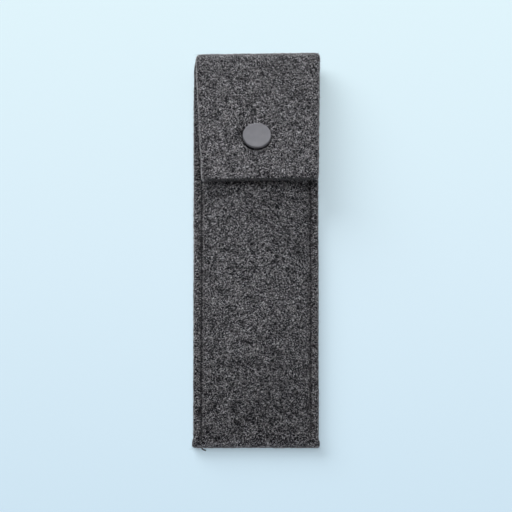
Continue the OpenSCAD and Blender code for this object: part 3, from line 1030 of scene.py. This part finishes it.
out_of_flap = np.array(skewed_way(-math.sin(SNAP_SLOPE), math.cos(SNAP_SLOPE)))
cap_place = SNAP_CENTRE + out_of_flap * FELT_T / 2
cap = lathe("snap_cap_face", cap_profile(), cap_place, SNAP_SLOPE, FOLD_SKEW)
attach(cap, "flap")
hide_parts("snap_cap")

# The rest of the snap shows the CAD solids in the snap's material
for name in ("snap_socket", "snap_stud", "stud_post_cap"):
    cad_mesh = bpy.data.objects[name].data
    cad_mesh.materials.clear()
    cad_mesh.materials.append(SNAP)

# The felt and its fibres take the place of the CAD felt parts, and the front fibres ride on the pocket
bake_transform(pocket_felt)
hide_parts("back_panel", "bottom_fold", "front_panel")
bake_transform(flap_felt)
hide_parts("top_fold", "flap_panel")

on_front = pocket_cloth[..., 1] < FRONT_LEN + BOTTOM_LEN
pocket_weights = fibre_weights(pocket_cloth, pocket_normals)
front_fibres = build_fibres(
    "front_fibres", 9900, pocket_points, pocket_normals, pocket_cloth, pocket_weights * on_front, 5
)
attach(front_fibres, "pocket")
back_fibres = build_fibres(
    "back_fibres", 6000, pocket_points, pocket_normals, pocket_cloth, pocket_weights * ~on_front, 7
)
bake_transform(back_fibres)
flap_fibres = build_fibres(
    "flap_fibres", 4500, flap_points, flap_normals, flap_cloth, fibre_weights(flap_cloth, flap_normals), 6
)
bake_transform(flap_fibres)


# Floor, lights and camera, from here on in metres
FLOOR_GLOW = 0.48
FLOOR_HALF = 1.5
FLOOR_SHADE_LEN = 0.24


def floor_material():
    """Pale paper, paler towards the back. Camera, glossy and transmission rays see part of its colour
    as a glow, which keeps the shadow on it light."""
    material, tree, shader = new_material("floor")
    tree.nodes.remove(shader)
    out = tree.nodes["Material Output"]
    place = node(tree, "ShaderNodeTexCoord")
    split = node(tree, "ShaderNodeSeparateXYZ")
    tree.links.new(place.outputs["Object"], split.inputs[0])
    along = math_node(tree, "MULTIPLY_ADD", split.outputs["Y"], 1 / FLOOR_SHADE_LEN, 0.5)
    colour = ramp_node(
        tree,
        along,
        [(0.0, (0.62, 0.785, 0.90)), (0.5, (0.70, 0.86, 0.955)), (1.0, (0.76, 0.925, 0.985))],
    )
    path = node(tree, "ShaderNodeLightPath").outputs
    seen = math_node(tree, "MAXIMUM", path["Is Camera Ray"], path["Is Glossy Ray"])
    seen = math_node(tree, "MAXIMUM", seen, path["Is Transmission Ray"])
    mix = node(tree, "ShaderNodeMix", data_type="RGBA")
    tree.links.new(seen, mix.inputs["Factor"])
    mix.inputs["A"].default_value = (0.78, 0.83, 0.87, 1)
    tree.links.new(colour, mix.inputs["B"])
    diffuse = node(tree, "ShaderNodeBsdfDiffuse")
    tree.links.new(mix.outputs["Result"], diffuse.inputs["Color"])
    glow = node(tree, "ShaderNodeEmission")
    tree.links.new(colour, glow.inputs["Color"])
    share = math_node(tree, "MULTIPLY", seen, FLOOR_GLOW)
    both = node(tree, "ShaderNodeMixShader")
    tree.links.new(share, both.inputs[0])
    tree.links.new(diffuse.outputs[0], both.inputs[1])
    tree.links.new(glow.outputs[0], both.inputs[2])
    tree.links.new(both.outputs[0], out.inputs["Surface"])
    return material


def floor():
    """The ground, which is stage and not part of the sleeve."""
    mesh = bpy.data.meshes.new("floor")
    h = FLOOR_HALF
    mesh.from_pydata([(-h, -h, 0), (h, -h, 0), (h, h, 0), (-h, h, 0)], [], [(0, 1, 2, 3)])
    obj = add_object("floor", mesh, floor_material())


def light_object(name, data, place, towards, lit):
    """Adds a lamp that shines along -towards and lights only the floor, or everything but the floor."""
    obj = bpy.data.objects.new(name, data)
    obj.location = place
    obj.rotation_mode = "QUATERNION"
    obj.rotation_quaternion = Vector(towards).to_track_quat("Z", "Y")
    bpy.context.scene.collection.objects.link(obj)
    receivers = bpy.data.collections.new(name + "_lights")
    receivers.objects.link(bpy.data.objects["floor"])
    link = receivers.collection_objects[0].light_linking
    link.link_state = "INCLUDE" if lit == "floor" else "EXCLUDE"
    obj.light_linking.receiver_collection = receivers
    obj.visible_camera = False


def sun(name, towards, softness, level, lit):
    """A level of 1 makes a flat surface as bright as its own colour."""
    data = bpy.data.lights.new(name, "SUN")
    way = Vector(towards).normalized()
    data.angle, data.energy = math.radians(softness), level * math.pi / way.z
    light_object(name, data, (0, 0, 0.5), towards, lit)


def lamp(name, place, target, size, level, lit):
    """A round soft lamp whose level holds on flat ground at its target."""
    data = bpy.data.lights.new(name, "AREA")
    away = Vector(place) - Vector(target)
    data.shape, data.size = "DISK", size
    data.energy = level * math.pi**2 * away.length**2 / away.normalized().z
    light_object(name, data, place, away, lit)


def world():
    """A faint even light from all round."""
    made = bpy.data.worlds.new("world")
    bpy.context.scene.world = made
    made.use_nodes = True
    back = made.node_tree.nodes["Background"]
    back.inputs["Color"].default_value = (0.97, 0.985, 1.0, 1)
    back.inputs["Strength"].default_value = 0.15


# The camera's height over the ground as an angle, the point it looks at and the width it sees there
CAMERA_UP = math.radians(60.4)
CAMERA_TARGET = (0, 0.001945, 0)
VIEW_ACROSS = 0.192


def camera():
    """A long lens, so far away that the photograph's flat view comes out."""
    data = bpy.data.cameras.new("camera")
    data.sensor_width, data.lens = 36, 1500
    distance = VIEW_ACROSS * data.lens / data.sensor_width
    back = Vector((0, -math.cos(CAMERA_UP), math.sin(CAMERA_UP)))
    obj = bpy.data.objects.new("camera", data)
    obj.location = Vector(CAMERA_TARGET) + back * distance
    obj.rotation_mode = "QUATERNION"
    obj.rotation_quaternion = (-back).to_track_quat("-Z", "Y")
    data.clip_start, data.clip_end = 1, 20
    bpy.context.scene.collection.objects.link(obj)
    bpy.context.scene.camera = obj


# Lamps have their place, target, size and level, and suns their direction, softness in degrees and level
floor()
world()
lamp("top_lamp", (-0.004, 0.014, 0.125), (0, 0, 0.007), 0.13, 0.63, "object")
lamp("fold_lamp", (-0.040, 0.300, 0.075), (0, 0.085, 0.010), 0.10, 0.29, "object")
lamp("front_lamp", (0, -0.172, 0.038), (0, -0.082, 0.004), 0.08, 0.08, "object")
sun("floor_key", (-0.50, 0.60, 0.55), 50, 0.53, "floor")
sun("floor_top", (0, 0, 1), 30, 0.30, "floor")
camera()

bpy.context.scene.view_settings.view_transform = "Standard"
